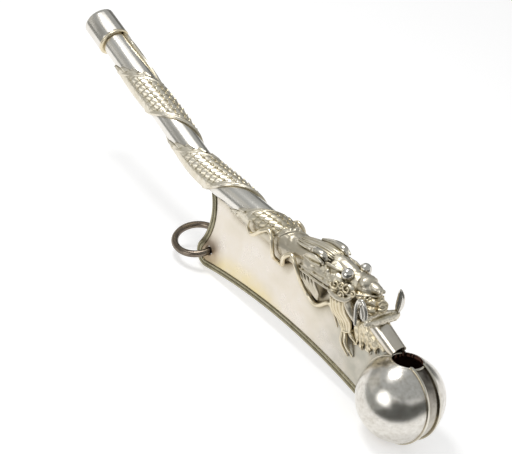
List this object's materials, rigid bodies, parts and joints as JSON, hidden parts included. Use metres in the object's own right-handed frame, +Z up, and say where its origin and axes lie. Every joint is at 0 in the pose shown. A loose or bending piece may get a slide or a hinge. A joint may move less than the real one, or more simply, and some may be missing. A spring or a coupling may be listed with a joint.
{
  "type": "boatswain_call",
  "caption": "Silver boatswain's call with a dragon coiled along its gun, a reeded keel, a split buoy and a lanyard ring that swings",
  "frame": {"origin": "middle of the bounding box's base, on the ground under the call", "axes": "+X along the call from the mouth to the buoy, +Z up from the keel to the gun, +Y across the keel plate to the side away from the viewer"},
  "size_m": [0.1321, 0.019, 0.0407],
  "materials": {
    "polished_silver": "hand-polished sterling silver, fine scratches",
    "worn_silver": "cast silver, polished on the high places and golden in the hollows",
    "tarnished_silver": "silver wire darkened by tarnish"
  },
  "bodies": {
    "call": {"gun_tube": "polished_silver", "mouth_ferrule": "polished_silver", "keel_plate": "polished_silver", "keel_moulding_left": "worn_silver", "keel_moulding_right": "worn_silver", "buoy_band": "worn_silver", "buoy_cup_left": "polished_silver", "buoy_cup_right": "polished_silver", "dragon_coil": "worn_silver", "dragon_fins": "worn_silver", "dragon_head": "worn_silver", "dragon_mane": "worn_silver", "dragon_tongue": "worn_silver", "dragon_jaw": "worn_silver", "dragon_eye_left": "polished_silver", "dragon_eye_right": "polished_silver", "dragon_horn_left": "polished_silver", "dragon_horn_right": "polished_silver", "dragon_ear_left": "worn_silver", "dragon_ear_right": "worn_silver", "dragon_tusk_left": "polished_silver", "dragon_tusk_right": "polished_silver", "dragon_whisker_left": "polished_silver", "dragon_whisker_right": "polished_silver", "dragon_foreleg_left": "worn_silver", "dragon_foreleg_right": "worn_silver", "dragon_claws_left": "polished_silver", "dragon_claws_right": "polished_silver", "dragon_flames_left": "worn_silver", "dragon_flames_right": "worn_silver"},
    "shackle": {"shackle_ring": "tarnished_silver"}
  },
  "joints": [
    {"name": "shackle_swing", "type": "hinge", "parent": "call", "child": "shackle", "pos_m": [-0.00773, 0, 0.00515], "axis": [0, 1, 0], "range_deg": [-150, 68]}
  ]
}
